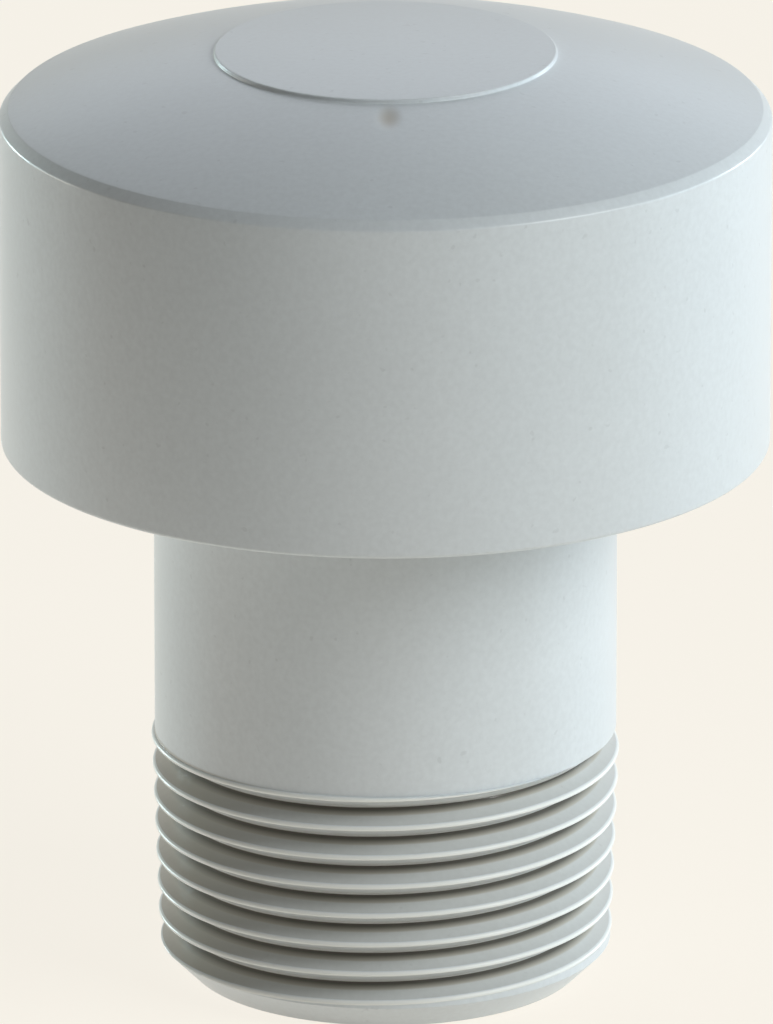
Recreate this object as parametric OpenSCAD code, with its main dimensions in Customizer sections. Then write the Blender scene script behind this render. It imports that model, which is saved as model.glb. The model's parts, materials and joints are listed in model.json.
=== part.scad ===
// Air admittance valve: a domed hood on a threaded neck.
// Air enters upwards through the ring-shaped gap under the hood, lifts a ring-shaped
// disc off two round seats and goes down the neck. The disc closes by its own weight.
// The lower end of the thread is at z = 0, and the valve stands upright on +Z.

/* [Thread] */
// Crest diameter at the upper end of the thread
thread_d = 33.4; // [30:0.1:40]
// Distance from crest to crest
thread_pitch = 2.209; // [1.8:0.001:2.6]
// Depth from crest to root
thread_depth = 1.77; // [1:0.01:1.8]
// Loss of diameter for each millimetre of length
thread_taper = 0.0625; // [0:0.0005:0.08]
// Height of the neck's lower edge, where the thread ends
thread_h = 18; // [12:0.05:24]
// Distance from the neck's lower edge down to the last crest, at the front
crest_drop = 0.25; // [0:0.05:1]
// Diameter of the end face below the lead-in
lead_d = 28.2; // [27:0.1:30]
// Angle of the lead-in, measured from the end face
lead_angle = 45; // [30:1:60]
// Angle of the run-out under the neck, measured from the neck's lower edge
runout_angle = 45; // [30:1:60]

/* [Neck] */
// Diameter of the plain neck
neck_d = 33; // [31.5:0.1:36]
// Bevel round the neck's lower edge
neck_bevel = 0.15; // [0.05:0.05:0.3]
// Bore of the threaded end
bore_d = 25.4; // [20:0.1:26]
// Bore of the neck above the thread
neck_bore_d = 28; // [26:0.1:29]

/* [Hood] */
// Diameter of the hood
hood_d = 54.7; // [49:0.1:62]
// Height of the hood's lower edge above the end face
hood_z = 39.4; // [32:0.1:50]
// Height of the hood's straight side
hood_side_h = 23.9; // [22:0.1:32]
// Wall of the skirt
hood_wall = 2; // [1.4:0.1:2.4]
// Wall of the domed top
dome_wall = 2; // [1.4:0.1:2.6]
// Radius of curvature of the domed top
dome_radius = 75; // [60:1:120]
// Bevel round the upper rim
rim_bevel = 0.65; // [0.3:0.05:1.2]
// Bevel round the lower edge
edge_bevel = 0.3; // [0.1:0.05:0.6]
// Diameter of the flat disc in the middle of the top
crown_d = 24.2; // [12:0.1:30]
// Step of the flat disc above the dome round it
crown_step = 0.3; // [0.1:0.05:0.6]
// Width of the ledge that presses on the seal
ledge_w = 0.75; // [0.5:0.05:0.9]
// Height of the snap bead, measured inwards
bead_h = 0.5; // [0.3:0.05:0.8]
// Thickness of the ribs under the dome
dome_rib_t = 1.2; // [0.8:0.1:2]
// Number of ribs under the dome
dome_ribs = 6; // [3:1:12]

/* [Intake] */
// Depth of the open recess between skirt edge and screen
intake_depth = 4.4; // [4.2:0.1:8]
// Thickness of the intake screen
screen_t = 0.8; // [0.6:0.1:1.5]
// Width of each slot in the screen
slot_w = 1.1; // [0.6:0.05:1.3]
// Number of slots in the screen
slot_count = 60; // [24:1:72]
// Thickness of the flange
flange_t = 2; // [1.5:0.1:4]
// Number of ports through the flange
port_count = 8; // [4:1:12]
// Width of the webs between the ports
web_w = 3; // [1.5:0.1:5]
// Height of the hood seal
seal_h = 1.6; // [1:0.1:2.4]

/* [Seats] */
// Height of the seats above the flange
seat_h = 3.4; // [2.5:0.1:5]
// Distance from the chamber's wall to the middle of the outer seat
seat_inset = 2; // [1.8:0.05:3]
// Wall of the outer seat ring
seat_wall = 1.8; // [1.2:0.1:2.2]
// Width of the flat land on each seat
seat_land = 0.6; // [0.3:0.05:1]

/* [Valve disc] */
// Thickness of the rubber membrane
membrane_t = 1.2; // [0.8:0.1:2]
// Reach of the membrane past the outer seat's land
membrane_lap = 1.3; // [0.5:0.1:1.6]
// Thickness of the lifting plate
plate_t = 1.4; // [1:0.1:2.5]
// Margin of the membrane outside the plate
plate_margin = 0.7; // [0.3:0.1:1.5]
// Outer diameter of the collar that carries the membrane
collar_d = 22.8; // [20:0.1:24]
// Wall of the collar
collar_wall = 1.2; // [0.9:0.1:2]
// Thickness of the membrane clip
clip_t = 1.4; // [1:0.1:2]
// Width of the membrane clip, measured outwards
clip_w = 1.9; // [1:0.1:2]
// Height of the ribs on the plate
plate_rib_h = 1.4; // [0.8:0.1:2]
// Thickness of the ribs on the plate
plate_rib_t = 1.2; // [0.8:0.1:2]
// Number of ribs on the plate
plate_ribs = 8; // [4:1:16]
// Number of spokes between collar and hub
spoke_count = 4; // [3:1:6]
// Width of each spoke
spoke_w = 2; // [1.2:0.1:3]
// Outer diameter of the hub
hub_d = 8.6; // [8:0.1:12]
// Height of the hub above the membrane
hub_h = 5; // [3:0.1:6]
// Length of the hub below the top of the membrane
hub_drop = 1; // [0:0.1:3]
// Diameter of the guide pin
guide_d = 5.2; // [4:0.1:6]
// Length of guide pin below the hub
guide_spare = 3.5; // [1:0.1:6]
// Lift of the disc
lift = 5; // [2:0.1:5]

/* [Clearances] */
// Radial gap between pieces that are pushed together
fit_gap = 0.1; // [0.05:0.01:0.2]
// Radial gap between guide pin and hub
slide_gap = 0.15; // [0.1:0.01:0.3]
// Gap between the closed membrane and the seats
seat_gap = 0.05; // [0.02:0.01:0.1]
// Gap between the lifted hub and its stop
stop_gap = 0.1; // [0.05:0.01:0.3]
// Gap between the screen and the neck
screen_gap = 0.4; // [0.3:0.05:0.8]

/* [Hidden] */
$fn = 96;

// Half a sixty degree thread angle
flank_angle = 30;
// Facets in one turn of the thread
columns = 48;
// Points along one pitch: both ends of a crest and both ends of a root
turn_rows = 4;
// Turns past the two ends, which fold flat on them
spare_turns = 2;
// Overlap that lets joined shapes run into each other
sink = 0.4;
// Margin round cutting shapes
past = 1;

// Small forms that follow the pieces they sit on
seat_bevel = 0.6;
port_margin_in = 0.9;
port_margin_out = 0.5;
slot_margin = 0.2;
clip_lip_h = 0.5;
clip_lip = 0.3;
pin_tip = 0.6;

// Radii
thread_r = thread_d / 2;
lead_r = lead_d / 2;
neck_r = neck_d / 2;
runout_r = neck_r - 2 * neck_bevel;
bore_r = bore_d / 2;
neck_bore_r = neck_bore_d / 2;
hood_r = hood_d / 2;
skirt_r = hood_r - hood_wall;
chamber_r = skirt_r - ledge_w;
flange_r = skirt_r - fit_gap;
crown_r = crown_d / 2;
outer_seat_r = chamber_r - seat_inset;
seat_ring_in = outer_seat_r - seat_wall / 2;
seat_ring_out = outer_seat_r + seat_wall / 2;
inner_seat_r = (neck_r + neck_bore_r) / 2;
membrane_r = outer_seat_r + membrane_lap;
plate_r = membrane_r - plate_margin;
collar_r = collar_d / 2;
hub_r = hub_d / 2;
guide_r = guide_d / 2;
clip_r = collar_r + fit_gap + clip_w;
port_in = neck_r + port_margin_in;
port_out = seat_ring_in - port_margin_out;

// Heights, from the intake up through the stack of pieces
screen_z = hood_z + intake_depth;
flange_z = screen_z + screen_t;
flange_top = flange_z + flange_t;
ledge_z = flange_top + seal_h;
seat_z = flange_top + seat_h;
membrane_z = seat_z + seat_gap;
plate_z = membrane_z + membrane_t;
plate_top = plate_z + plate_t;
hub_z = plate_z - hub_drop;
hub_top = plate_z + hub_h;
stop_z = hub_top + lift + stop_gap;
guide_z = hub_z - guide_spare;
collar_z = membrane_z - clip_t - clip_lip_h;
core_cone_h = neck_bore_r - bore_r;
rim_z = hood_z + hood_side_h;
dome_edge_z = rim_z + rim_bevel;
dome_centre_z = dome_edge_z - arc_height(dome_radius, hood_r - rim_bevel);
crown_z = dome_centre_z + arc_height(dome_radius, crown_r) + crown_step;
inner_dome_radius = dome_radius - dome_wall;
dome_rib_z = dome_centre_z + arc_height(inner_dome_radius, chamber_r) - sink;

// Thread rows, from below the end face to the neck
last_crest_z = thread_h - crest_drop;
thread_turns = ceil(thread_h / thread_pitch) + 1;
row_count = turn_rows * (thread_turns + spare_turns);
flank_h = thread_depth * tan(flank_angle);
flat_h = (thread_pitch - 2 * flank_h) / 2;

// Height of a round arc above its centre, at a distance from its axis
function arc_height(radius, reach) = sqrt(radius * radius - reach * reach);

function clamp(value, low, high) = min(max(value, low), high);

// Distance along the axis from a crest's middle to each of the four points
function row_shift(j) =
    j == 0 ? -flat_h / 2 :
    j == 1 ? flat_h / 2 :
    j == 2 ? thread_pitch / 2 - flat_h / 2 :
    thread_pitch / 2 + flat_h / 2;

// Turn angle of a column, with 0 at the front and the seam at the back
function column_angle(i) = 360 * i / columns - 180;

function row_z(i, k) =
    last_crest_z + thread_pitch * (floor(k / turn_rows) - thread_turns)
    + row_shift(k % turn_rows) + thread_pitch * column_angle(i) / 360;

function crest_r(z) = thread_r - (thread_h - z) * thread_taper / 2;

// Share of the groove's depth at a height: 0 on a crest, 1 at a root
function groove_share(i, z) =
    let (turn = (z - last_crest_z) / thread_pitch - column_angle(i) / 360)
    let (from_crest = abs(turn - round(turn)) * thread_pitch)
    clamp((from_crest - flat_h / 2) / flank_h, 0, 1);

// Distance of the surface from the axis, no more than the lead-in leaves
function threaded_r(i, z) =
    min(crest_r(z) - thread_depth * groove_share(i, z), lead_r + z / tan(lead_angle));

// The groove runs out under the neck, so its floor rises there
function thread_surface(i, z) =
    max(threaded_r(i, z), runout_r - (thread_h - z) / tan(runout_angle));

function thread_point(i, k) =
    let (z = clamp(row_z(i, k), 0, thread_h))
    let (r = thread_surface(i, z))
    let (a = column_angle(i) - 90)
    [r * cos(a), r * sin(a), z];

// A point's number, where the column after the last is the first one, one turn higher
function point_number(i, k) = i < columns ? i * row_count + k : k + turn_rows;

// Facets between two neighbouring columns, without the ones that shrink to nothing
function strip(points, i) = [
    for (k = [0 : row_count - 2 - (i < columns - 1 ? 0 : turn_rows)])
        let (a = point_number(i, k))
        let (b = point_number(i + 1, k))
        let (c = point_number(i + 1, k + 1))
        let (d = point_number(i, k + 1))
        for (face = [[a, c, b], [a, d, c]])
            if (points[face[0]] != points[face[1]]
                && points[face[1]] != points[face[2]]
                && points[face[2]] != points[face[0]]) face
];

// Solid core with the helical thread on it
module thread_core() {
    sides = [for (i = [0 : columns - 1]) for (k = [0 : row_count - 1]) thread_point(i, k)];
    points = concat(sides, [[0, 0, 0], [0, 0, thread_h]]);
    foot = len(sides);
    last = row_count - 1;
    strips = [for (i = [0 : columns - 1]) for (face = strip(points, i)) face];
    ends = [
        for (i = [0 : columns - 1])
            let (next = (i + 1) % columns)
            for (face = [
                [foot, point_number(i, 0), point_number(next, 0)],
                [foot + 1, point_number(next, last), point_number(i, last)]
            ]) face
    ];
    polyhedron(points, concat(strips, ends));
}

// Cross-section of a raised seat with a flat land
module seat_profile(r, wall) {
    polygon([
        [r - wall / 2, flange_z],
        [r + wall / 2, flange_z],
        [r + wall / 2, seat_z - seat_bevel],
        [r + seat_land / 2, seat_z],
        [r - seat_land / 2, seat_z],
        [r - wall / 2, seat_z - seat_bevel]
    ]);
}

// Ring between two radii
module ring(r_in, r_out, z, h) {
    translate([0, 0, z])
        difference() {
            cylinder(r = r_out, h = h);
            translate([0, 0, -past])
                cylinder(r = r_in, h = h + 2 * past);
        }
}

// Ring of ports with straight webs between them
module ports() {
    difference() {
        ring(port_in, port_out, flange_z - past, flange_t + 2 * past);
        for (i = [0 : port_count - 1])
            rotate([0, 0, 360 * i / port_count])
                translate([0, -web_w / 2, flange_z - 2 * past])
                    cube([flange_r, web_w, flange_t + 4 * past]);
    }
}

// Threaded spigot, neck, flange and both seats, moulded as one
module body() {
    color("gainsboro")
        difference() {
            union() {
                thread_core();
                translate([0, 0, thread_h])
                    cylinder(r1 = neck_r - neck_bevel, r2 = neck_r, h = neck_bevel);
                translate([0, 0, thread_h + neck_bevel])
                    cylinder(r = neck_r, h = flange_z + sink - thread_h - neck_bevel);
                rotate_extrude()
                    seat_profile(inner_seat_r, neck_r - neck_bore_r);
                rotate_extrude()
                    seat_profile(outer_seat_r, seat_wall);
                ring(neck_bore_r, flange_r, flange_z, flange_t);
            }
            translate([0, 0, -past])
                cylinder(r = bore_r, h = seat_z + 2 * past);
            translate([0, 0, thread_h])
                cylinder(r1 = bore_r, r2 = neck_bore_r, h = core_cone_h);
            translate([0, 0, thread_h + core_cone_h])
                cylinder(r = neck_bore_r, h = seat_z);
            ports();
        }
}

// Half section of the hood's outside
module hood_outside() {
    intersection() {
        polygon([
            [0, hood_z],
            [hood_r - edge_bevel, hood_z],
            [hood_r, hood_z + edge_bevel],
            [hood_r, rim_z],
            [hood_r - rim_bevel, dome_edge_z],
            [hood_r - rim_bevel, dome_centre_z + dome_radius],
            [0, dome_centre_z + dome_radius]
        ]);
        translate([0, dome_centre_z])
            circle(r = dome_radius);
    }
}

// Half section of the space in the hood
module hood_inside() {
    translate([0, hood_z - past])
        square([skirt_r, ledge_z - hood_z + past]);
    intersection() {
        translate([0, ledge_z - past])
            square([chamber_r, dome_radius]);
        translate([0, dome_centre_z])
            circle(r = inner_dome_radius);
    }
}

// Bead that snaps under the screen, flat above and bevelled below
module snap_bead() {
    rotate_extrude()
        polygon([
            [skirt_r + sink, screen_z - 2 * bead_h],
            [skirt_r, screen_z - 2 * bead_h],
            [skirt_r - bead_h, screen_z - bead_h],
            [skirt_r - bead_h, screen_z],
            [skirt_r + sink, screen_z]
        ]);
}

// Flat disc that replaces the middle of the dome
module crown() {
    translate([0, 0, crown_z - crown_step - sink])
        cylinder(r = crown_r, h = crown_step + sink);
}

// Guide pin with its stop, hanging from the dome
module guide() {
    translate([0, 0, guide_z + pin_tip])
        cylinder(r = guide_r, h = crown_z - dome_wall / 2 - guide_z - pin_tip);
    translate([0, 0, guide_z])
        cylinder(r1 = guide_r - pin_tip, r2 = guide_r, h = pin_tip);
    translate([0, 0, stop_z])
        cylinder(r = hub_r, h = crown_z - dome_wall / 2 - stop_z);
}

// Ribs that stiffen the dome from below
module stiffening_ribs() {
    intersection() {
        for (i = [0 : dome_ribs - 1])
            rotate([0, 0, 360 * i / dome_ribs])
                translate([0, -dome_rib_t / 2, dome_rib_z])
                    cube([chamber_r + sink, dome_rib_t, dome_radius]);
        translate([0, 0, dome_centre_z])
            sphere(r = inner_dome_radius + sink);
    }
}

// Domed hood with its guide pin, moulded as one
module hood() {
    color("gainsboro")
        union() {
            difference() {
                rotate_extrude()
                    difference() {
                        hood_outside();
                        hood_inside();
                    }
                translate([0, 0, crown_z - crown_step])
                    cylinder(r = crown_r, h = dome_radius);
            }
            crown();
            snap_bead();
            guide();
            stiffening_ribs();
        }
}

// Slotted ring that keeps insects out
module intake_screen() {
    color("lightgray")
        difference() {
            ring(neck_r + screen_gap, flange_r, screen_z, screen_t);
            for (i = [0 : slot_count - 1])
                rotate([0, 0, 360 * i / slot_count])
                    translate([port_in + slot_margin, -slot_w / 2, screen_z - past])
                        cube([port_out - port_in - 2 * slot_margin, slot_w, screen_t + 2 * past]);
        }
}

// Rubber ring between the flange and the hood's ledge
module hood_seal() {
    color("dimgray")
        ring(seat_ring_out + fit_gap, flange_r, flange_top, seal_h);
}

// Lifting plate with its collar, spokes and hub, moulded as one
module valve_disc() {
    color("whitesmoke")
        difference() {
            union() {
                ring(collar_r - collar_wall, plate_r, plate_z, plate_t);
                ring(collar_r - collar_wall, collar_r, collar_z, plate_z - collar_z + sink);
                ring(collar_r - collar_wall, collar_r + clip_lip, collar_z, clip_lip_h);
                translate([0, 0, hub_z])
                    cylinder(r = hub_r, h = hub_top - hub_z);
                for (i = [0 : spoke_count - 1])
                    rotate([0, 0, 360 * i / spoke_count])
                        translate([0, -spoke_w / 2, plate_z])
                            cube([collar_r - collar_wall / 2, spoke_w, plate_t]);
                for (i = [0 : plate_ribs - 1])
                    rotate([0, 0, 360 * i / plate_ribs])
                        translate([collar_r - collar_wall, -plate_rib_t / 2, plate_top - sink])
                            cube([plate_r - plate_margin - collar_r + collar_wall,
                                  plate_rib_t, plate_rib_h + sink]);
            }
            translate([0, 0, hub_z - past])
                cylinder(r = guide_r + slide_gap, h = hub_top - hub_z + 2 * past);
        }
}

// Rubber ring that closes on both seats
module membrane() {
    color("dimgray")
        ring(collar_r + fit_gap, membrane_r, membrane_z, membrane_t);
}

// Snap ring that holds the membrane on the collar
module membrane_clip() {
    color("whitesmoke")
        ring(collar_r + fit_gap, clip_r, membrane_z - clip_t, clip_t);
}

body();
hood();
intake_screen();
hood_seal();
valve_disc();
membrane();
membrane_clip();
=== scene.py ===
# %% [markdown]
# # An air admittance valve in a studio
#
# The valve lets air into a drain pipe and lets no smell out. Its CAD solids are the fixed frame
# of this lesson. Each moulding is modelled again on that frame, with the soft edges that a mould
# leaves, then come the plastics and the rubber, and last the floor, the lamps and the camera.

# %% Load the frame
import json
import math

import bpy
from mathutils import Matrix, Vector


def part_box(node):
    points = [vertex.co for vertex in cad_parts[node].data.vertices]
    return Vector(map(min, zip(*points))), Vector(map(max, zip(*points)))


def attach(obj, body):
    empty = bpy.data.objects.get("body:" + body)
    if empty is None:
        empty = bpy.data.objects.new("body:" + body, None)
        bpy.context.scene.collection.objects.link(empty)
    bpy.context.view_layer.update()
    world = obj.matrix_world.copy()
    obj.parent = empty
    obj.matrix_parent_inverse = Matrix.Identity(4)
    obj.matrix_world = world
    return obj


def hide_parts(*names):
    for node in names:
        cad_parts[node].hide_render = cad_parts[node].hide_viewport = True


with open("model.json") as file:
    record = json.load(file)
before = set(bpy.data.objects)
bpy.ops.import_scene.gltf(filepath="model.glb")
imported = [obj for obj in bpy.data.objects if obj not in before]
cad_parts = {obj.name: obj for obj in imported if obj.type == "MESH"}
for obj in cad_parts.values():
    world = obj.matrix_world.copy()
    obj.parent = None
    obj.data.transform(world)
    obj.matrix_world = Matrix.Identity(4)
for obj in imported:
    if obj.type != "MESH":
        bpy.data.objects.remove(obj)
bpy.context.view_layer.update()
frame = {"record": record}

MM = 0.001

# %% [markdown]
# ## The sizes
#
# A piece that replaces a CAD node has to stay where the node is. So the sizes that the frame
# knows are read from it: the boxes of the nodes, and the thread and bore in the record. Only the
# sizes that a box can't tell, such as a wall inside another piece, are written down here later,
# in the cell that first needs them.

# %% Read the sizes from the frame
hood_low, hood_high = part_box("hood")
body_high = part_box("body")[1]
screen_low, screen_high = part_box("intake_screen")
seal_low, seal_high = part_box("hood_seal")
disc_low, disc_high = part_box("valve_disc")
membrane_low, membrane_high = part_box("membrane")
clip_low, clip_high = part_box("membrane_clip")
mounts = {mount["name"]: mount["dims"] for mount in frame["record"]["mounts"]}

HOOD_R = hood_high.x
HOOD_Z = hood_low.z
CROWN_Z = hood_high.z
SCREEN_Z = screen_low.z
FLANGE_Z = screen_high.z
FLANGE_R = body_high.x
FLANGE_TOP = seal_low.z
LEDGE_Z = seal_high.z
SEAT_Z = body_high.z
THREAD_R = mounts["pipe_thread"]["r_mm"] * MM
THREAD_H = mounts["pipe_thread"]["length_mm"] * MM
BORE_R = mounts["outlet_bore"]["r_mm"] * MM
print("hood radius", round(HOOD_R / MM, 2), "thread radius", round(THREAD_R / MM, 2), "mm")

# %% [markdown]
# ## How a turned piece is drawn
#
# Nearly every moulding here is round, like work from a lathe. One could start from a cylinder
# and bevel its rims, but an outline says more: half of the section is drawn as a wire and spun
# round the Z axis. A moulded corner is never sharp, so each corner of the outline has a radius,
# and a small function puts an arc of that radius in its place.

# %% Round the corners of an outline
ARC_STEPS = 4


def rounded(corners, closed=False):
    """Turns corners (r, z, radius) into points (r, z), with an arc at each corner."""
    points = []
    for i, (r, z, radius) in enumerate(corners):
        here = Vector((r, z))
        if radius == 0 or (not closed and i in (0, len(corners) - 1)):
            points.append((r, z))
            continue
        before = (Vector(corners[i - 1][:2]) - here).normalized()
        after = (Vector(corners[(i + 1) % len(corners)][:2]) - here).normalized()
        half = before.angle(after) / 2
        middle = here + (before + after).normalized() * radius / math.sin(half)
        start = here + before * radius / math.tan(half) - middle
        end = here + after * radius / math.tan(half) - middle
        for step in range(ARC_STEPS + 1):
            spoke = start.lerp(end, step / ARC_STEPS).normalized() * radius
            points.append(tuple(middle + spoke))
    return points


corner_points = rounded([(0, 0, 0), (1, 0, 0.2), (1, 1, 0)])
print("a corner with a radius becomes", len(corner_points) - 2, "points")

# %% [markdown]
# ## Spinning it
#
# By hand one merges a plane to a single vertex, pulls that vertex along the outline with
# extrude, and spins the wire by a full turn. The script does the same. Spin leaves a seam, and a
# heap of points where the outline touches the axis, so doubles are merged before the normals are
# turned outwards.

# %% Draw a wire and spin it
TURN_STEPS = 192
WELD = 0.001 * MM


def draw_wire(name, points):
    """Pulls one vertex along points (r, z) in the XZ plane, and stays in edit mode."""
    bpy.ops.object.select_all(action="DESELECT")
    bpy.ops.mesh.primitive_plane_add(size=MM, location=(points[0][0], 0, points[0][1]))
    piece = bpy.context.object
    piece.name = name
    piece.data.name = name
    bpy.ops.object.mode_set(mode="EDIT")
    bpy.ops.mesh.select_mode(type="VERT")
    bpy.ops.mesh.merge(type="CENTER")
    for here, there in zip(points, points[1:]):
        step = (there[0] - here[0], 0, there[1] - here[1])
        bpy.ops.mesh.extrude_vertices_move(TRANSFORM_OT_translate={"value": step})
    return piece


def close_skin():
    """Merges doubles and turns the normals outwards, in edit mode, then leaves it."""
    bpy.ops.mesh.select_all(action="SELECT")
    bpy.ops.mesh.remove_doubles(threshold=WELD)
    bpy.ops.mesh.normals_make_consistent(inside=False)
    bpy.ops.object.mode_set(mode="OBJECT")
    bpy.ops.object.transform_apply(location=True)


def lathe(name, points, closed=False):
    """A piece turned from its outline, which runs from axis to axis or is a closed ring."""
    piece = draw_wire(name, points + points[:1] if closed else points)
    bpy.ops.mesh.select_all(action="SELECT")
    bpy.ops.mesh.spin(steps=TURN_STEPS, angle=math.tau, center=(0, 0, 0), axis=(0, 0, 1))
    close_skin()
    print(name, "turned:", len(piece.data.polygons), "faces")
    return piece


# %% [markdown]
# ## The hood
#
# The hood is the wide cap that keeps rain and dirt out. Outside it has a straight skirt, a small
# slanted rim and a shallow dome with a flat disc in its middle. Inside hang the guide pin of the
# valve disc and the stop above it. A ledge presses on the seal and a bead snaps under the intake
# screen. All of that is one outline from the top of the axis round to the tip of the pin.

# %% Turn the hood
HOOD_WALL = 2.0 * MM
DOME_WALL = 2.0 * MM
DOME_RADIUS = 75 * MM
CROWN_R = 12.1 * MM
CROWN_STEP = 0.3 * MM
RIM_BEVEL = 0.65 * MM
RIM_ROUND = 0.3 * MM
EDGE_ROUND = 0.3 * MM
SMALL_ROUND = 0.12 * MM
LEDGE_W = 0.75 * MM
BEAD_H = 0.5 * MM
STOP_R = 4.3 * MM
LIFT_ROOM = 5.1 * MM
STOP_Z = disc_high.z + LIFT_ROOM
GUIDE_R = 2.6 * MM
GUIDE_Z = 46.75 * MM
PIN_TIP = 0.6 * MM
DOME_STEPS = 40
SKIRT_R = HOOD_R - HOOD_WALL
CHAMBER_R = SKIRT_R - LEDGE_W
DOME_CENTRE = CROWN_Z - CROWN_STEP - math.sqrt(DOME_RADIUS**2 - CROWN_R**2)


def dome_points(radius, start, end):
    """Corners on a dome of that radius, from one distance from the axis to another."""
    reaches = [start + (end - start) * i / DOME_STEPS for i in range(DOME_STEPS + 1)]
    return [(r, DOME_CENTRE + math.sqrt(radius**2 - r**2), 0) for r in reaches]


outer_dome = dome_points(DOME_RADIUS, CROWN_R, HOOD_R - RIM_BEVEL)
inner_dome = dome_points(DOME_RADIUS - DOME_WALL, CHAMBER_R, STOP_R)
rim_z = outer_dome[-1][1]

hood_corners = [(0, CROWN_Z, 0), (CROWN_R, CROWN_Z, SMALL_ROUND)]
hood_corners += [(*outer_dome[0][:2], SMALL_ROUND), *outer_dome[1:-1]]
hood_corners += [
    (HOOD_R - RIM_BEVEL, rim_z, RIM_ROUND),
    (HOOD_R, rim_z - RIM_BEVEL, RIM_ROUND),
    (HOOD_R, HOOD_Z, EDGE_ROUND),
    (SKIRT_R, HOOD_Z, EDGE_ROUND),
    (SKIRT_R, SCREEN_Z - 2 * BEAD_H, SMALL_ROUND),
    (SKIRT_R - BEAD_H, SCREEN_Z - BEAD_H, SMALL_ROUND),
    (SKIRT_R - BEAD_H, SCREEN_Z, SMALL_ROUND),
    (SKIRT_R, SCREEN_Z, 0),
    (SKIRT_R, LEDGE_Z, SMALL_ROUND),
    (CHAMBER_R, LEDGE_Z, SMALL_ROUND),
]
hood_corners += inner_dome
hood_corners += [
    (STOP_R, STOP_Z, SMALL_ROUND),
    (GUIDE_R, STOP_Z, SMALL_ROUND),
    (GUIDE_R, GUIDE_Z + PIN_TIP, SMALL_ROUND),
    (GUIDE_R - PIN_TIP, GUIDE_Z, SMALL_ROUND),
    (0, GUIDE_Z, 0),
]
hood = lathe("hood_shell", rounded(hood_corners))

# %% [markdown]
# ## The mark of the sprue
#
# Just in front of the flat disc the dome has a soft dull hollow, where the plastic ran into the
# mould. Sculpting it would be the quick way by hand. Here the faces round the place are
# subdivided, and each point near it sinks by a smooth bell curve. The same curve, stored in an
# attribute, will darken the plastic there.

# %% Press the sprue mark into the dome
MARK_PLACE = Vector((0.2 * MM, -14.1 * MM))
MARK_R = 1.1 * MM
MARK_LENGTH = 2
MARK_DEPTH = 0.1 * MM
MARK_DARKENING = 0.3
MARK_MARGIN = 1.3
FACING_UP = 0.5


def mark_share(place):
    """Bell curve over the mark, which is longer from front to back."""
    away = place.xy - MARK_PLACE
    share = Vector((away.x, away.y / MARK_LENGTH)).length / MARK_R
    return (1 - share**2) ** 2 if place.z > rim_z and share < 1 else 0


def near_mark(face):
    """Whether a face lies on top of the dome and near the mark."""
    on_top = face.normal.z > FACING_UP and face.center.z > rim_z
    away = (face.center.xy - MARK_PLACE).length
    return on_top and away < MARK_MARGIN * MARK_LENGTH * MARK_R


def pick_faces(piece, wanted):
    """Selects the faces of a piece that pass a test, and stays in edit mode."""
    bpy.ops.object.mode_set(mode="EDIT")
    bpy.ops.mesh.select_mode(type="FACE")
    bpy.ops.mesh.select_all(action="DESELECT")
    bpy.ops.object.mode_set(mode="OBJECT")
    for face in piece.data.polygons:
        face.select = wanted(face)
    bpy.ops.object.mode_set(mode="EDIT")


pick_faces(hood, near_mark)
bpy.ops.mesh.subdivide(number_cuts=2)
bpy.ops.object.mode_set(mode="OBJECT")
painted_light_and_mark = hood.data.attributes.new("painted_light_and_mark", "FLOAT", "POINT")
for vertex, stored in zip(hood.data.vertices, painted_light_and_mark.data):
    stored.value = MARK_DARKENING * mark_share(vertex.co)
    vertex.co.z -= MARK_DEPTH * mark_share(vertex.co)
print("sprue mark sunk by", round(MARK_DEPTH / MM, 2), "mm")

# %% [markdown]
# ## Joining shapes into one moulding
#
# Ribs and spokes stand on a turned piece, and in the mould they are one with it. Shapes that only
# overlap would leave walls inside the plastic. So one rib is made from a cube, copied round the
# axis with spin, and joined by a Boolean, as one would with the modifier panel.

# %% Helpers for spokes and ribs
RIB_ROUND = 0.2 * MM


def bars(name, count, start, end, width, low, high):
    """Copies of one bar with soft edges that points outwards, spread round the axis."""
    bpy.ops.object.select_all(action="DESELECT")
    bpy.ops.mesh.primitive_cube_add(size=1, location=((start + end) / 2, 0, (low + high) / 2))
    piece = bpy.context.object
    piece.name = name
    piece.scale = (end - start, width, high - low)
    bpy.ops.object.transform_apply(location=True, scale=True)
    bpy.ops.object.mode_set(mode="EDIT")
    bpy.ops.mesh.select_all(action="SELECT")
    bpy.ops.mesh.bevel(offset=RIB_ROUND, segments=2, affect="EDGES")
    bpy.ops.mesh.select_all(action="SELECT")
    bpy.ops.mesh.spin(steps=count, dupli=True, angle=math.tau, center=(0, 0, 0), axis=(0, 0, 1))
    close_skin()
    print(name, "made:", count, "bars")
    return piece


def join_solid(piece, other):
    """Adds another closed shape to a piece with a Boolean, and removes that shape."""
    bpy.ops.object.select_all(action="DESELECT")
    bpy.context.view_layer.objects.active = piece
    piece.select_set(True)
    bpy.ops.object.modifier_add(type="BOOLEAN")
    union = piece.modifiers[-1]
    union.operation = "UNION"
    union.object = other
    bpy.ops.object.modifier_apply(modifier=union.name)
    bpy.data.objects.remove(other)


# %% Put the ribs under the dome
DOME_RIBS = 6
DOME_RIB_T = 1.2 * MM
RIB_BELOW = 0.4 * MM
RIB_ABOVE = 0.9 * MM
rib_low = inner_dome[0][1] - RIB_BELOW
rib_high = inner_dome[0][1] + RIB_ABOVE
ribs = bars("dome_ribs", DOME_RIBS, 2 * STOP_R, CHAMBER_R + LEDGE_W, DOME_RIB_T, rib_low, rib_high)
join_solid(hood, ribs)
print("hood has", len(hood.data.polygons), "faces")
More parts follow.
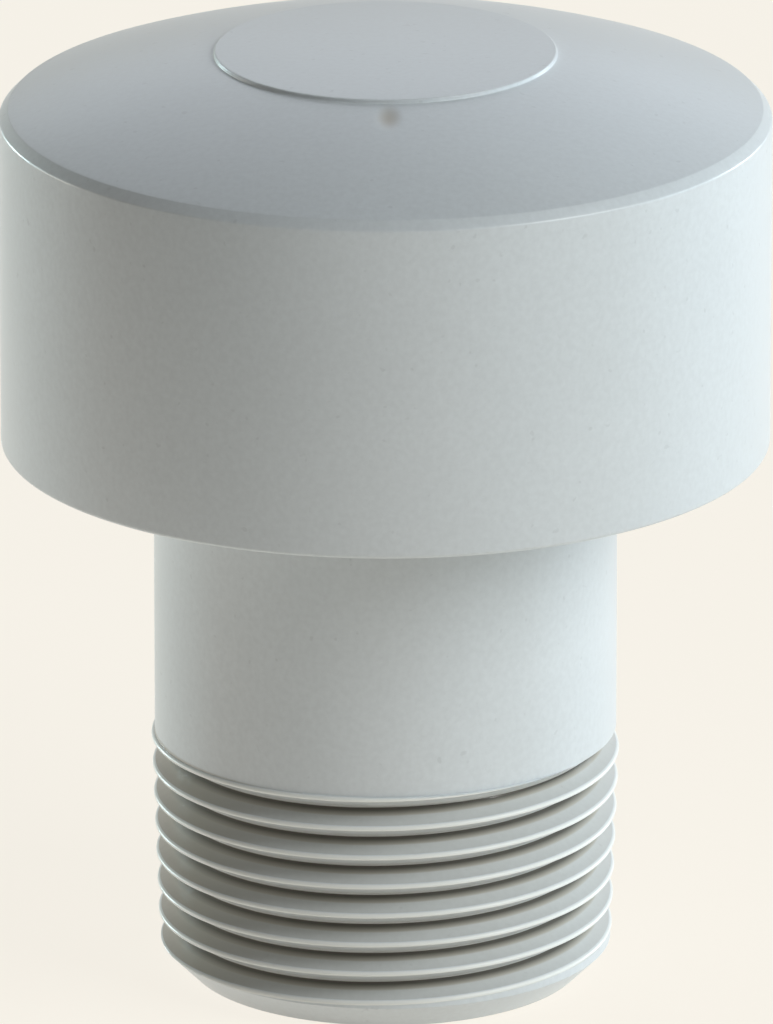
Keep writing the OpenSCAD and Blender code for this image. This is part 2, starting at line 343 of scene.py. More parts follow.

# %% [markdown]
# ## The thread
#
# The lower end is a right-hand taper pipe thread. A stack of rings would look right only from far
# away, because a thread climbs. The Screw modifier is made for this: the section of one turn, with
# a narrow rounded crest and a sharp root, is swept round the axis and climbs by one pitch in each
# turn. Simple Deform then gives the taper. Shade is painted dark at the foot of the flank that
# faces up, and a highlight is painted pale on the crests. An attribute holds this painted light
# for each point of the section, with 1 for painted shade and -1 for painted highlight, and the
# sweep carries it along.

# %% Sweep one turn of the thread
PITCH = 2.209 * MM
FLANK = math.radians(30)
CREST_ROUND = 0.18 * MM
ROOT_FLAT = 0.08 * MM
TAPER = 0.0625
CREST_DROP = 0.1 * MM
LEDGE_SHARE = 0.08
# Painted shade at the foot of the upper flank: where it is full, where it fades out, how dark it is
ROOT_SHADE_CORE = 0.12
ROOT_SHADE_REACH = 0.45
ROOT_SHADE_LEVEL = 0.82
THREAD_TURNS = 11

crest_r = THREAD_R - THREAD_H * TAPER / 2
crest_angles = [math.radians(a) for a in (-60, -30, 0, 30, 60)]
crest = [
    (crest_r - CREST_ROUND * (1 - math.cos(a)), CREST_ROUND * math.sin(a)) for a in crest_angles
]
flank_h = PITCH / 2 - ROOT_FLAT / 2 - crest[-1][1]
root_r = crest[-1][0] - flank_h / math.tan(FLANK)
root_z = PITCH / 2 - ROOT_FLAT / 2
low_foot, high_foot = Vector((root_r, -root_z)), Vector((root_r, root_z))
low_edge, high_edge = Vector(crest[0]), Vector(crest[-1])
# Two points on the upper flank: where the painted shade begins, and where it is full
root_shade_ends = [high_foot.lerp(high_edge, share) for share in (ROOT_SHADE_REACH, ROOT_SHADE_CORE)]
section = [(root_r, -PITCH / 2), low_foot, low_edge.lerp(low_foot, LEDGE_SHARE), *crest]
section += [high_edge.lerp(high_foot, LEDGE_SHARE), *root_shade_ends, high_foot, (root_r, PITCH / 2)]
# Per point: -1 paints a highlight on the crest, the root level paints shade at the flank's foot
section_painted_light = [0, 0, 0] + [-1] * len(crest) + [0, 0, ROOT_SHADE_LEVEL, ROOT_SHADE_LEVEL, 0]

# The last crest ends just under the neck at the front, a quarter turn before the wire's own place
first_crest = THREAD_H - CREST_DROP + PITCH / 4 - (THREAD_TURNS - 1) * PITCH
thread = draw_wire("thread_skin", [(r, first_crest + z) for r, z in section])
bpy.ops.object.mode_set(mode="OBJECT")
bpy.ops.object.transform_apply(location=True)
# The attribute carries the painted shade and the painted highlight of each point
painted_light_and_mark = thread.data.attributes.new("painted_light_and_mark", "FLOAT", "POINT")
for stored, value in zip(painted_light_and_mark.data, section_painted_light):
    stored.value = value
bpy.ops.object.modifier_add(type="SCREW")
screw = thread.modifiers[-1]
screw.screw_offset = PITCH
screw.iterations = THREAD_TURNS
screw.steps = TURN_STEPS
screw.render_steps = TURN_STEPS
bpy.ops.object.modifier_apply(modifier=screw.name)

bpy.ops.object.modifier_add(type="SIMPLE_DEFORM")
taper = thread.modifiers[-1]
taper.deform_method = "TAPER"
taper.deform_axis = "Z"
taper.factor = TAPER / 2 / crest_r * thread.dimensions.z
bpy.ops.object.modifier_apply(modifier=taper.name)
thread_depth = round((crest_r - root_r) / MM, 3)
print("thread swept:", len(thread.data.polygons), "faces, depth", thread_depth, "mm")

# %% [markdown]
# ## The ends of the thread
# Below, the thread stops at the flat end face, and above at the neck's lower edge. Both ends are
# cut with bisect. The start of the thread is turned off at 45 degrees so that it finds its way
# into a socket: every point outside that cone is drawn in to it. Under the neck the groove runs
# out, so every point inside a second cone is pushed out to that one. Above the last crest there is
# no groove any more: the neck comes down to that crest. So points there are pushed out to the
# neck, and at the back, where the groove ends, the push grows slowly from nothing. Below the first
# crest it is the same: there the lead-in is plain, and the groove starts at the back. All flanks
# get a little painted shade, darker and warmer, in the same attribute, and those on the left,
# which the lamps light less, more of it.

# %% Cut the thread to length and turn the lead-in
LEAD_R = 14.1 * MM
LIP = 0.05 * MM
NECK_R = 16.5 * MM
RUNOUT_INSET = 0.3 * MM
BACK = 0.25
FRONT = 0.5
FADE = 0.1
WHOLE_TURNS = 7
# How much shade is painted on every flank, and how much more on the left side, away from the lamps
FLANK_SHADE = 0.13
LEFT_SIDE_SHADE = 0.25


def filled_reach(place):
    """How far the plastic reaches out above the last crest and below the first one, else 0."""
    # Turns are counted from the back, a quarter turn after the X axis, so the front is at half a turn
    turned = (math.atan2(place.y, place.x) / math.tau - BACK) % 1
    last_crest = THREAD_H - CREST_DROP + PITCH * (turned - FRONT)
    if place.z > last_crest:
        return root_r + (NECK_R - root_r) * min(turned / FADE, 1)
    below = last_crest - WHOLE_TURNS * PITCH - place.z
    if below < 0:
        return 0
    if below > PITCH:
        return crest_r
    return root_r + (crest_r - root_r) * min((1 - turned) / FADE, 1)


bpy.ops.object.mode_set(mode="EDIT")
bpy.ops.mesh.select_all(action="SELECT")
bpy.ops.mesh.remove_doubles(threshold=WELD)
for level, clear_below, clear_above in (
    (LIP, True, False), (crest_r - LEAD_R, False, False), (THREAD_H, False, True)
):
    bpy.ops.mesh.select_all(action="SELECT")
    bpy.ops.mesh.bisect(
        plane_co=(0, 0, level), plane_no=(0, 0, 1), threshold=WELD,
        clear_inner=clear_below, clear_outer=clear_above,
    )
bpy.ops.object.mode_set(mode="OBJECT")
for vertex, stored in zip(thread.data.vertices, thread.data.attributes["painted_light_and_mark"].data):
    reach = vertex.co.xy.length
    lead_in = LEAD_R + max(vertex.co.z, 0)
    run_out = NECK_R - RUNOUT_INSET - (THREAD_H - vertex.co.z)
    filled = filled_reach(vertex.co)
    vertex.co.xy *= max(min(max(reach, filled), lead_in), run_out) / reach
    if filled > reach or lead_in < reach:
        stored.value = 0
    elif stored.value == 0:
        # Painted shade: a little on every flank, growing towards the left edge
        leftness = min(max(-2 * vertex.co.x / crest_r - 1, 0), 1)
        stored.value = FLANK_SHADE + LEFT_SIDE_SHADE * leftness
tops = [v.co for v in thread.data.vertices if v.co.z > THREAD_H - WELD]
print("thread ends at", round(max(v.z for v in tops) / MM, 3), "mm with", len(tops), "points")

# %% [markdown]
# ## The body
#
# Neck, flange and both valve seats are one moulding with the thread. The rest of the body is one
# more outline: from the neck's lower edge up the outside, over the flange and the two raised
# seats, and down through the bore to the end face. It stays open where the thread belongs. One
# more ring of points close above the neck's edge keeps the smooth shading of its long wall even.

# %% Turn the neck, the flange and the seats
NECK_BORE_R = 14 * MM
SEAT_LAND = 0.6 * MM
SEAT_BEVEL = 0.6 * MM
SEAT_WALL = 1.8 * MM
SEAT_INSET = 2 * MM
OUTER_SEAT_R = CHAMBER_R - SEAT_INSET
INNER_SEAT_R = (NECK_R + NECK_BORE_R) / 2
PORT_GAP = 0.9 * MM
PORT_EDGE = 0.5 * MM
PORT_IN = NECK_R + PORT_GAP
PORT_OUT = OUTER_SEAT_R - SEAT_WALL / 2 - PORT_EDGE
ROOT_FILLET = 0.4 * MM
NECK_GUARD = 0.5 * MM


def seat_corners(r, wall):
    """Corners over a raised seat with a flat land, from its outer foot to its inner foot."""
    return [
        (r + wall / 2, SEAT_Z - SEAT_BEVEL, SMALL_ROUND),
        (r + SEAT_LAND / 2, SEAT_Z, SMALL_ROUND),
        (r - SEAT_LAND / 2, SEAT_Z, SMALL_ROUND),
        (r - wall / 2, SEAT_Z - SEAT_BEVEL, SMALL_ROUND),
    ]


body_corners = [
    (NECK_R, THREAD_H + LIP, 0),
    (NECK_R, THREAD_H + NECK_GUARD, 0),
    (NECK_R, FLANGE_Z, ROOT_FILLET),
    (PORT_IN, FLANGE_Z, 0),
    (PORT_OUT, FLANGE_Z, 0),
    (FLANGE_R, FLANGE_Z, SMALL_ROUND),
    (FLANGE_R, FLANGE_TOP, SMALL_ROUND),
    (OUTER_SEAT_R + SEAT_WALL / 2, FLANGE_TOP, 0),
    *seat_corners(OUTER_SEAT_R, SEAT_WALL),
    (OUTER_SEAT_R - SEAT_WALL / 2, FLANGE_TOP, SMALL_ROUND),
    (PORT_OUT, FLANGE_TOP, 0),
    (PORT_IN, FLANGE_TOP, 0),
    (NECK_R, FLANGE_TOP, SMALL_ROUND),
    *seat_corners(INNER_SEAT_R, NECK_R - NECK_BORE_R),
    (NECK_BORE_R, THREAD_H + NECK_BORE_R - BORE_R, SMALL_ROUND),
    (BORE_R, THREAD_H, SMALL_ROUND),
    (BORE_R, 0, EDGE_ROUND),
    (LEAD_R - SMALL_ROUND, 0, 0),
]
body = lathe("threaded_body", rounded(body_corners))

# %% [markdown]
# ## The intake ports
#
# Air passes the flange through eight ports between the two seats. A Boolean needs a closed shape,
# and this skin is still open, so the ports are made the way one opens a window by hand: the faces
# above and below are deleted, and the two rims are bridged.

# %% Open the ports
PORTS = 8
WEB_STEPS = 5
LYING_FLAT = 0.9
port_steps = TURN_STEPS // PORTS


def in_ring(face):
    """Whether a face lies flat between the two seats, on the flange's top or underside."""
    flat = abs(face.normal.z) > LYING_FLAT
    level = min(abs(face.center.z - FLANGE_Z), abs(face.center.z - FLANGE_TOP)) < WELD
    reach = face.center.xy.length
    return flat and level and PORT_IN - WELD < reach < PORT_OUT + WELD


def turn_step(face):
    """Number of the spin step that a face belongs to."""
    return int(math.atan2(face.center.y, face.center.x) % math.tau / math.tau * TURN_STEPS)


for port in range(PORTS):
    first = port * port_steps + (WEB_STEPS - 1) // 2 + 1
    window = range(first, first + port_steps - WEB_STEPS)
    pick_faces(body, lambda face: in_ring(face) and turn_step(face) in window)
    bpy.ops.mesh.bridge_edge_loops()
bpy.ops.object.mode_set(mode="OBJECT")
print("ports opened:", len(body.data.polygons), "faces")

# %% [markdown]
# ## Thread and body become one
#
# The two skins are joined into one mesh. At each end of the thread lie two open rims, one just
# above the other, and bridging them gives the end face below and the step under the neck's edge.
# Rims in the very same plane would not do, because bridge then can't tell which way round they run.

# %% Join and bridge
bpy.ops.object.select_all(action="DESELECT")
thread.select_set(True)
body.select_set(True)
bpy.context.view_layer.objects.active = body
bpy.ops.object.join()
for level in (0, THREAD_H):
    bpy.ops.object.mode_set(mode="EDIT")
    bpy.ops.mesh.select_mode(type="EDGE")
    bpy.ops.mesh.select_all(action="SELECT")
    bpy.ops.mesh.region_to_loop()
    bpy.ops.object.mode_set(mode="OBJECT")
    for edge in body.data.edges:
        ends = [body.data.vertices[i].co.z for i in edge.vertices]
        edge.select = edge.select and max(abs(z - level) for z in ends) < LIP + WELD
    bpy.ops.object.mode_set(mode="EDIT")
    bpy.ops.mesh.bridge_edge_loops()
close_skin()
print("body closed:", len(body.data.polygons), "faces")

# %% [markdown]
# ## The intake screen
#
# Looking up under the hood one sees a flat ring with many slots that keeps insects out. Cutting
# sixty holes by Booleans would be slow and untidy. One sector with one slot is a grid of nine
# faces without its middle one. Spin copies it round the axis, and Solidify and Bevel give it body.

# %% Copy one slot round the axis
SLOTS = 60
GRID = 3
SLOT_W = 1.1 * MM
SLOT_MARGIN = 0.2 * MM
SCREEN_GAP = 0.4 * MM
SCREEN_ROUND = 0.1 * MM
screen_t = screen_high.z - screen_low.z
rings = [NECK_R + SCREEN_GAP, PORT_IN + SLOT_MARGIN, PORT_OUT - SLOT_MARGIN, screen_high.x]
half_turn = math.pi / SLOTS

bpy.ops.object.select_all(action="DESELECT")
bpy.ops.mesh.primitive_grid_add(x_subdivisions=GRID, y_subdivisions=GRID, size=GRID)
screen = bpy.context.object
screen.name = "screen_ring"
for vertex in screen.data.vertices:
    reach = rings[round(vertex.co.x + GRID / 2)]
    column = round(vertex.co.y + GRID / 2)
    side = -1 if column < 2 else 1
    turn = half_turn if column in (0, GRID) else math.asin(SLOT_W / 2 / reach)
    vertex.co = (reach * math.cos(turn), side * reach * math.sin(turn), screen_low.z)
pick_faces(screen, lambda face: abs(face.center.y) < WELD and rings[1] < face.center.x < rings[2])
bpy.ops.mesh.delete(type="FACE")
bpy.ops.mesh.select_all(action="SELECT")
bpy.ops.mesh.spin(steps=SLOTS, dupli=True, angle=math.tau, center=(0, 0, 0), axis=(0, 0, 1))
close_skin()
bpy.ops.object.modifier_add(type="SOLIDIFY")
solidify = screen.modifiers[-1]
solidify.thickness = screen_t
solidify.offset = 1 if screen.data.polygons[0].normal.z > 0 else -1
bpy.ops.object.modifier_apply(modifier=solidify.name)
bpy.ops.object.modifier_add(type="BEVEL")
bevel = screen.modifiers[-1]
bevel.width = SCREEN_ROUND
bevel.segments = 2
bevel.limit_method = "ANGLE"
bpy.ops.object.modifier_apply(modifier=bevel.name)
print("screen made:", SLOTS, "slots,", len(screen.data.polygons), "faces")

# %% [markdown]
# ## The seal, the membrane and its clip
#
# These three are plain rings, so each is a closed outline that is spun. The hood's seal is a soft
# ring with round lips, the membrane is a flat rubber washer that closes on both seats, and the
# clip is the stiff ring that holds the membrane on the disc's collar.

# %% Turn the three rings
FIT_GAP = 0.1 * MM
COLLAR_R = 11.4 * MM
SEAL_ROUND = 0.3 * MM
MEMBRANE_ROUND = 0.25 * MM


def ring(name, inner, outer, low, high, radius):
    """A turned ring with a rectangular section and round edges."""
    corners = [(inner, low), (outer, low), (outer, high), (inner, high)]
    return lathe(name, rounded([(r, z, radius) for r, z in corners], closed=True), closed=True)


seal_in = OUTER_SEAT_R + SEAT_WALL / 2 + FIT_GAP
seal = ring("seal_ring", seal_in, seal_high.x, seal_low.z, seal_high.z, SEAL_ROUND)
membrane_in = COLLAR_R + FIT_GAP
membrane = ring(
    "membrane_ring", membrane_in, membrane_high.x, membrane_low.z, membrane_high.z, MEMBRANE_ROUND
)
clip = ring("clip_ring", membrane_in, clip_high.x, clip_low.z, clip_high.z, EDGE_ROUND)

# %% [markdown]
# ## The lifting disc
#
# The disc is the only piece that moves. A flat ring carries the membrane on a collar, four spokes
# lead to the hub that runs on the guide pin, and short ribs keep the ring flat. Ring and hub are
# turned, spokes and ribs are bars, and Booleans join them into one moulding.

# %% Turn the ring and the hub, and join them with the bars
COLLAR_WALL = 1.2 * MM
PLATE_T = 1.4 * MM
CLIP_LIP = 0.3 * MM
CLIP_LIP_H = 0.5 * MM
HUB_R = 4.3 * MM
HUB_DROP = 1 * MM
SLIDE_GAP = 0.15 * MM
SPOKES = 4
SPOKE_W = 2 * MM
PLATE_RIBS = 8
PLATE_RIB_T = 1.2 * MM
PLATE_RIB_H = 1.4 * MM
PLATE_MARGIN = 0.7 * MM
OVERLAP = 0.4 * MM
plate_z = membrane_high.z
plate_top = plate_z + PLATE_T
collar_in = COLLAR_R - COLLAR_WALL

plate_corners = [
    (collar_in, disc_low.z, SMALL_ROUND),
    (COLLAR_R + CLIP_LIP, disc_low.z, SMALL_ROUND),
    (COLLAR_R + CLIP_LIP, disc_low.z + CLIP_LIP_H, SMALL_ROUND),
    (COLLAR_R, disc_low.z + CLIP_LIP_H, 0),
    (COLLAR_R, plate_z, 0),
    (disc_high.x, plate_z, SMALL_ROUND),
    (disc_high.x, plate_top, SMALL_ROUND),
    (collar_in, plate_top, SMALL_ROUND),
]
disc = lathe("lifting_disc", rounded(plate_corners, closed=True), closed=True)
hub_bore = GUIDE_R + SLIDE_GAP
hub = ring("disc_hub", hub_bore, HUB_R, plate_z - HUB_DROP, disc_high.z, SMALL_ROUND)
spokes = bars(
    "disc_spokes", SPOKES, hub_bore + OVERLAP, COLLAR_R - OVERLAP, SPOKE_W, plate_z, plate_top
)
ribs = bars(
    "disc_ribs", PLATE_RIBS, collar_in + OVERLAP, disc_high.x - PLATE_MARGIN, PLATE_RIB_T,
    plate_top - OVERLAP, plate_top + PLATE_RIB_H,
)
for part in (hub, spokes, ribs):
    join_solid(disc, part)
print("disc has", len(disc.data.polygons), "faces")

# %% [markdown]
# ## The plastics
#
# The housing is a light grey plastic with a satin skin. A single colour would look like paint on a
# screen. The real skin has slow clouds where the melt flowed, a fine grain from the mould and a
# few dark specks. Three noise patterns in the piece's own coordinates give these, and the grain
# also moves the roughness and the bump a little, so that the gloss is never quite even. Where a
# piece carries the attribute set above, the plastic is made pale, darkened a little or darkened
# deeply: on the thread this is painted highlight and painted shade, and on the dome it darkens
# the sprue mark.

# %% Helpers for patterns
def noise(tree, scale, detail):
    """A noise pattern in the piece's own coordinates, from 0 to 1."""
    place = tree.nodes.new("ShaderNodeTexCoord")
    pattern = tree.nodes.new("ShaderNodeTexNoise")
    pattern.inputs["Scale"].default_value = scale
    pattern.inputs["Detail"].default_value = detail
    tree.links.new(place.outputs["Object"], pattern.inputs["Vector"])
    return pattern.outputs["Fac"]


def spread(tree, value, start, end, low, high):
    """Maps a pattern's stretch from start to end to values from low to high."""
    node = tree.nodes.new("ShaderNodeMapRange")
    for name, number in zip(("From Min", "From Max", "To Min", "To Max"), (start, end, low, high)):
        node.inputs[name].default_value = number
    tree.links.new(value, node.inputs["Value"])
    return node.outputs["Result"]


def times(tree, one, other):
    """The product of two patterns."""
    node = tree.nodes.new("ShaderNodeMath")
    node.operation = "MULTIPLY"
    tree.links.new(one, node.inputs[0])
    tree.links.new(other, node.inputs[1])
    return node.outputs["Value"]


def shade(tree, colour, value):
    """A colour that a pattern makes lighter or darker."""
    node = tree.nodes.new("ShaderNodeVectorMath")
    node.operation = "SCALE"
    node.inputs["Vector"].default_value = colour
    tree.links.new(value, node.inputs["Scale"])
    return node.outputs["Vector"]


def toned_towards(tree, share, tint, target_tone):
    """A tint that turns into another colour where the share is 1."""
    node = tree.nodes.new("ShaderNodeMix")
    node.data_type = "RGBA"
    node.inputs["B"].default_value = (*target_tone, 1)
    tree.links.new(share, node.inputs["Factor"])
    tree.links.new(tint, node.inputs["A"])
    return node.outputs["Result"]


def new_material(name):
    """A material with its node tree and its Principled shader."""
    material = bpy.data.materials.new(name)
    material.use_nodes = True
    return material, material.node_tree, material.node_tree.nodes["Principled BSDF"]


# %% Moulded plastic
CLOUD_SCALE = 70
GRAIN_SCALE = 2200
SPECK_SCALE = 1400
CLOUD_DETAIL, GRAIN_DETAIL, SPECK_DETAIL = 3, 2, 1
GRAIN_BUMP = 0.01 * MM
NOISE_LOW, NOISE_HIGH = 0.3, 0.7
SPECK_LOW, SPECK_HIGH = 0.72, 0.78
SPECK_DEPTH = 3
GLOSS_SPREAD = 0.05
# Painted shade in the grooves, painted highlight on crests, milder shade on flanks and sprue mark
DEEP_SHADE = (0.022, 0.020, 0.016)
PAINTED_HIGHLIGHT = (0.80, 0.82, 0.80)
MILD_SHADE_AND_MARK = (0.43, 0.41, 0.36)
# Where the milder darkening ends and the deep painted shade begins
MILD_END = 0.3


def moulded_plastic(name, colour, roughness, grain, bump):
    """Satin plastic with flow clouds, mould grain and a few specks."""
    material, tree, shader = new_material(name)
    slow = noise(tree, CLOUD_SCALE, CLOUD_DETAIL)
    fine = noise(tree, GRAIN_SCALE, GRAIN_DETAIL)
    clouds = spread(tree, slow, NOISE_LOW, NOISE_HIGH, 1 - grain / 2, 1 + grain / 2)
    grains = spread(tree, fine, NOISE_LOW, NOISE_HIGH, 1 - grain, 1 + grain)
    spots = noise(tree, SPECK_SCALE, SPECK_DETAIL)
    specks = spread(tree, spots, SPECK_LOW, SPECK_HIGH, 1, 1 - SPECK_DEPTH * grain)
    tint = shade(tree, colour, times(tree, times(tree, clouds, grains), specks))
    painted_light_and_mark = tree.nodes.new("ShaderNodeAttribute")
    painted_light_and_mark.attribute_name = "painted_light_and_mark"
    # The attribute paints a highlight below 0, a milder darkening up to the limit, deep shade above
    # it
    for start, end, target_tone in ((0, -1, PAINTED_HIGHLIGHT), (0, MILD_END, MILD_SHADE_AND_MARK), (MILD_END, 1, DEEP_SHADE)):
        tint = toned_towards(tree, spread(tree, painted_light_and_mark.outputs["Fac"], start, end, 0, 1), tint, target_tone)
    tree.links.new(tint, shader.inputs["Base Color"])
    low, high = roughness - GLOSS_SPREAD, roughness + GLOSS_SPREAD
    gloss = spread(tree, fine, NOISE_LOW, NOISE_HIGH, low, high)
    tree.links.new(gloss, shader.inputs["Roughness"])
    relief = tree.nodes.new("ShaderNodeBump")
    relief.inputs["Strength"].default_value = bump
    relief.inputs["Distance"].default_value = GRAIN_BUMP
    tree.links.new(fine, relief.inputs["Height"])
    tree.links.new(relief.outputs["Normal"], shader.inputs["Normal"])
    print(name, "made with", len(tree.nodes), "nodes")
    return material


shell_plastic = moulded_plastic("shell_plastic", (0.622, 0.664, 0.688), 0.33, 0.03, 0.3)
screen_plastic = moulded_plastic("screen_plastic", (0.52, 0.545, 0.535), 0.42, 0.03, 0.3)
disc_plastic = moulded_plastic("disc_plastic", (0.70, 0.72, 0.71), 0.4, 0.02, 0.2)

# %% [markdown]
# ## The rubber
#
# Seal and membrane are black rubber with a bloom: a grey haze that comes to the surface with age.
# A slow noise lightens the black where the haze is, and makes it rougher there.

# %% Rubber with a bloom
RUBBER = (0.035, 0.035, 0.037)
BLOOM_SCALE = 120
BLOOM_DETAIL = 4
BLOOM_LOW, BLOOM_HIGH = 0.35, 0.7
DARKEST, LIGHTEST = 0.8, 1.8
SMOOTHEST, ROUGHEST = 0.5, 0.75

seal_rubber, rubber_tree, rubber_shader = new_material("seal_rubber")
bloom = noise(rubber_tree, BLOOM_SCALE, BLOOM_DETAIL)
haze = spread(rubber_tree, bloom, BLOOM_LOW, BLOOM_HIGH, DARKEST, LIGHTEST)
rubber_tree.links.new(shade(rubber_tree, RUBBER, haze), rubber_shader.inputs["Base Color"])
dullness = spread(rubber_tree, bloom, BLOOM_LOW, BLOOM_HIGH, SMOOTHEST, ROUGHEST)
rubber_tree.links.new(dullness, rubber_shader.inputs["Roughness"])
print("seal_rubber made with", len(rubber_tree.nodes), "nodes")

# %% [markdown]
# ## Putting the pieces on the frame
#
# Each piece is shaded smooth, but only across shallow angles, so that real edges stay crisp. Then
# it gets its material and slot, rides on its body and stands for its CAD node.

# %% Finish each piece
SMOOTH_ANGLE = math.radians(32)

placed = [
    (hood, "hood", "housing", "shell_plastic", shell_plastic),
    (body, "body", "housing", "shell_plastic", shell_plastic),
    (screen, "intake_screen", "housing", "screen_plastic", screen_plastic),
    (seal, "hood_seal", "housing", "seal_rubber", seal_rubber),
    (disc, "valve_disc", "disc", "disc_plastic", disc_plastic),
    (membrane, "membrane", "disc", "seal_rubber", seal_rubber),
    (clip, "membrane_clip", "disc", "disc_plastic", disc_plastic),
]
for piece, node, rides_on, slot, material in placed:
    bpy.ops.object.select_all(action="DESELECT")
    piece.select_set(True)
    bpy.context.view_layer.objects.active = piece
    bpy.ops.object.shade_smooth_by_angle(angle=SMOOTH_ANGLE)
    piece.data.materials.clear()
    piece.data.materials.append(material)
    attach(piece, rides_on)
    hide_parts(node)
    print(piece.name, "stands for", node, "and rides on", rides_on)

# %% [markdown]
# ## The floor
#
# The valve stands on a plain cream floor. For the camera and for reflections it shows its flat
# colour, and a share of the matt floor stays in that, so that it keeps the shadow. For all other
# rays the floor is matt paper that glows round the valve, as paper does where a lamp shines on it,
# and less so close to the valve, which shades it. From below, the floor is clear. It lies a hair
# under the valve, because two faces in one plane would flicker.

# %% Make the floor
CREAM = (0.922, 0.879, 0.799)
PAPER = (0.985, 0.94, 0.855)
FLOOR_SIZE = 12
FLOOR_DROP = 0.02 * MM
SHADOW_SHARE = 0.12
POOL_GLOW = 0.6
POOL_IN = 0.15
POOL_OUT = 0.4
NEAR_GLOW = 0.4
NEAR_IN = 0.04
NEAR_OUT = 0.09
SHADE_IN = 0.015
SHADE_OUT = 0.04
SHADE_LEAST = 0.4

bpy.ops.object.select_all(action="DESELECT")
bpy.ops.mesh.primitive_plane_add(size=FLOOR_SIZE, location=(0, 0, -FLOOR_DROP))
bpy.ops.object.transform_apply(location=True)
floor = bpy.context.object
floor.name = "floor"


def seen_rays(tree):
    """1 for camera, glossy and transmission rays, which show the flat background."""
    path = tree.nodes.new("ShaderNodeLightPath")
    total = path.outputs["Is Camera Ray"]
    for name in ("Is Glossy Ray", "Is Transmission Ray"):
        node = tree.nodes.new("ShaderNodeMath")
        node.operation = "MAXIMUM"
        tree.links.new(total, node.inputs[0])
        tree.links.new(path.outputs[name], node.inputs[1])
        total = node.outputs["Value"]
    return total


def mixed(tree, share, one, other):
    """Mixes two shaders, where a share of 1 is the second one."""
    node = tree.nodes.new("ShaderNodeMixShader")
    tree.links.new(share, node.inputs["Fac"])
    tree.links.new(one, node.inputs[1])
    tree.links.new(other, node.inputs[2])
    return node.outputs["Shader"]


floor_material, floor_tree, floor_shader = new_material("floor_paper")
floor_shader.inputs["Base Color"].default_value = (*CREAM, 1)
floor_shader.inputs["Roughness"].default_value = 1
floor_shader.inputs["Specular IOR Level"].default_value = 0
glow = floor_tree.nodes.new("ShaderNodeEmission")
glow.inputs["Color"].default_value = (*PAPER, 1)
clear = floor_tree.nodes.new("ShaderNodeBsdfTransparent")
facing = floor_tree.nodes.new("ShaderNodeNewGeometry")
middle = floor_tree.nodes.new("ShaderNodeTexCoord")
distance = floor_tree.nodes.new("ShaderNodeVectorMath")
distance.operation = "LENGTH"
floor_tree.links.new(middle.outputs["Object"], distance.inputs["Vector"])
wide_pool = spread(floor_tree, distance.outputs["Value"], POOL_IN, POOL_OUT, POOL_GLOW, 0)
near_pool = spread(floor_tree, distance.outputs["Value"], NEAR_IN, NEAR_OUT, NEAR_GLOW, 0)
both_pools = floor_tree.nodes.new("ShaderNodeMath")
floor_tree.links.new(wide_pool, both_pools.inputs[0])
floor_tree.links.new(near_pool, both_pools.inputs[1])
flat_share = spread(floor_tree, seen_rays(floor_tree), 0, 1, 0, 1 - SHADOW_SHARE)
shaded = spread(floor_tree, distance.outputs["Value"], SHADE_IN, SHADE_OUT, SHADE_LEAST, 1)
pools = times(floor_tree, both_pools.outputs["Value"], shaded)
floor_tree.links.new(pools, flat_share.node.inputs["To Min"])
paper = mixed(floor_tree, flat_share, floor_shader.outputs["BSDF"], glow.outputs["Emission"])
paper = mixed(floor_tree, facing.outputs["Backfacing"], paper, clear.outputs["BSDF"])
floor_tree.links.new(paper, floor_tree.nodes["Material Output"].inputs["Surface"])
floor.data.materials.append(floor_material)
print("floor made:", FLOOR_SIZE, "m wide")

# %% [markdown]
# ## The surroundings
#
# The air has the floor's cream for the camera and for reflections, and is dark for all other rays,
# because the lamps give the light. High up it is a little dimmer, so that the dome and the flanks
# of the thread mirror less of it. The direction of a ray says how high it goes.

# %% Make the surroundings
AIR_DARK = (0.012, 0.014, 0.016)
SKY_LOW = 0.3
SKY_HIGH = 0.65
SKY_DIM = 0.78

world = bpy.data.worlds.new("studio_air")
bpy.context.scene.world = world
world.use_nodes = True
air = world.node_tree
air_dark = air.nodes["Background"]
air_dark.inputs["Color"].default_value = (*AIR_DARK, 1)
air_seen = air.nodes.new("ShaderNodeBackground")
air_seen.inputs["Color"].default_value = (*CREAM, 1)
way = air.nodes.new("ShaderNodeTexCoord")
height = air.nodes.new("ShaderNodeSeparateXYZ")
air.links.new(way.outputs["Generated"], height.inputs["Vector"])
dimmed = spread(air, height.outputs["Z"], SKY_LOW, SKY_HIGH, 1, SKY_DIM)
air.links.new(dimmed, air_seen.inputs["Strength"])
surroundings = mixed(
    air, seen_rays(air), air_dark.outputs["Background"], air_seen.outputs["Background"]
)
air.links.new(surroundings, air.nodes["World Output"].inputs["Surface"])
print("surroundings made with", len(air.nodes), "nodes")

# %% [markdown]
# ## The lamps
#
# A large soft lamp in front on the right and two cooler, lower ones on the right give the long
# gradient round the hood. Two small lamps on the left, mostly behind the valve, brighten its left
# edge and the crests of the thread, and a weak one at the back lifts the dome. A lamp's level is
# the brightness that it gives to a white surface that faces it, which is easier to judge than
# watts.

# %% Set the lamps
AIM = Vector((0, 0, 34 * MM))
LAMP_DISTANCE = 0.9


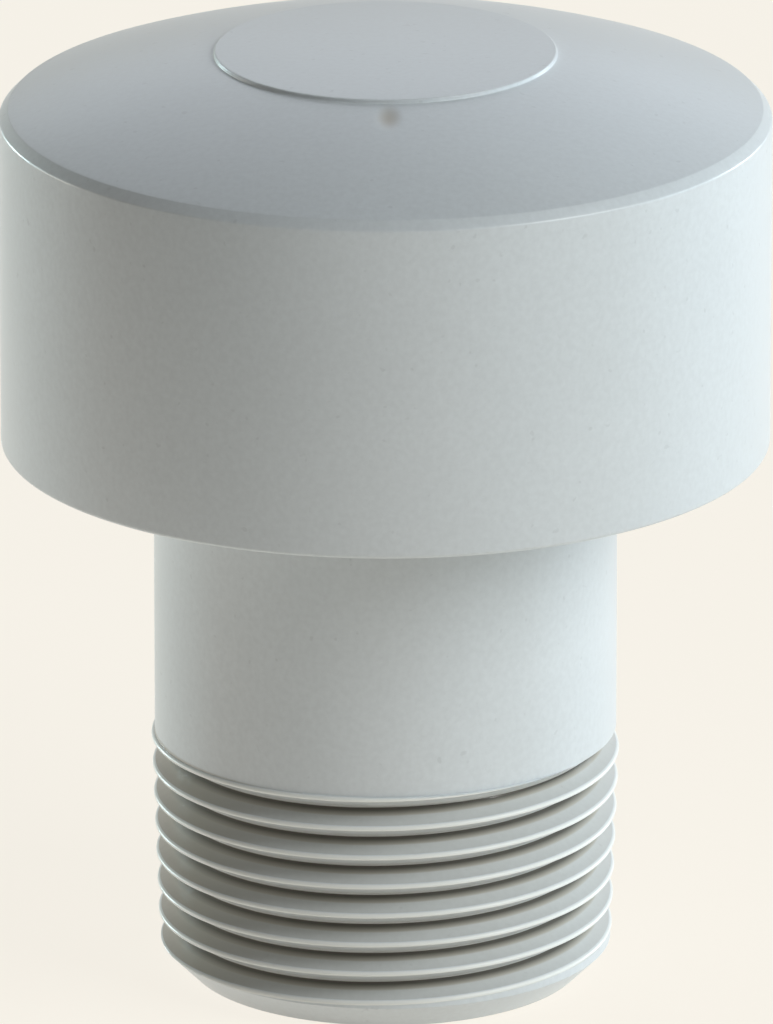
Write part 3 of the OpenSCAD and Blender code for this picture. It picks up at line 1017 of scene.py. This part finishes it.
def soft_lamp(name, azimuth, elevation, size, level, colour):
    """A square lamp that points at the valve; azimuth 0 is the front and 90 the right."""
    turn, rise = math.radians(azimuth), math.radians(elevation)
    towards = Vector(
        (math.sin(turn) * math.cos(rise), -math.cos(turn) * math.cos(rise), math.sin(rise))
    )
    bpy.ops.object.light_add(type="AREA", location=AIM + towards * LAMP_DISTANCE)
    lamp = bpy.context.object
    lamp.name = name
    lamp.rotation_euler = towards.to_track_quat("Z", "Y").to_euler()
    lamp.data.shape = "SQUARE"
    lamp.data.size = size
    lamp.data.energy = level * math.pi**2 * LAMP_DISTANCE**2
    lamp.data.color = colour
    print(name, "set at", azimuth, "degrees")


soft_lamp("key_lamp", 60, 34, 0.5, 0.69, (0.97, 1.0, 1.0))
soft_lamp("side_lamp", 92, 6, 0.25, 0.2, (0.65, 0.88, 1.0))
soft_lamp("right_back_lamp", 125, 4, 0.2, 0.38, (0.76, 0.88, 1.0))
soft_lamp("left_lamp", -110, 4, 0.2, 0.16, (1.0, 0.92, 0.82))
soft_lamp("edge_lamp", -135, 3, 0.2, 0.4, (0.75, 0.97, 1.0))
soft_lamp("back_lamp", 180, 33, 0.6, 0.14, (0.75, 0.85, 1.0))

# %% [markdown]
# ## The camera
#
# The photograph was taken from a little above and far away, with hardly any perspective. So the
# camera stands well back with a long lens. One pixel of the picture is a known length on the
# valve, and from that and the distance follows the focal length.

# %% Set the camera
PICTURE_H = 1024
PIXEL = 0.07122 * MM
CAMERA_ELEVATION = math.radians(18.4)
CAMERA_DISTANCE = 1.2
SENSOR = 36
NEAREST, FARTHEST = 0.05, 20
camera_aim = Vector((0.07 * MM, 0, 33.8 * MM))

back = Vector((0, -math.cos(CAMERA_ELEVATION), math.sin(CAMERA_ELEVATION)))
bpy.ops.object.camera_add(location=camera_aim + back * CAMERA_DISTANCE)
camera = bpy.context.object
camera.rotation_euler = back.to_track_quat("Z", "Y").to_euler()
camera.data.sensor_width = SENSOR
camera.data.lens = SENSOR * CAMERA_DISTANCE / (PICTURE_H * PIXEL)
camera.data.clip_start = NEAREST
camera.data.clip_end = FARTHEST
bpy.context.scene.camera = camera
bpy.context.scene.view_settings.view_transform = "Standard"
print("lens", round(camera.data.lens), "mm")
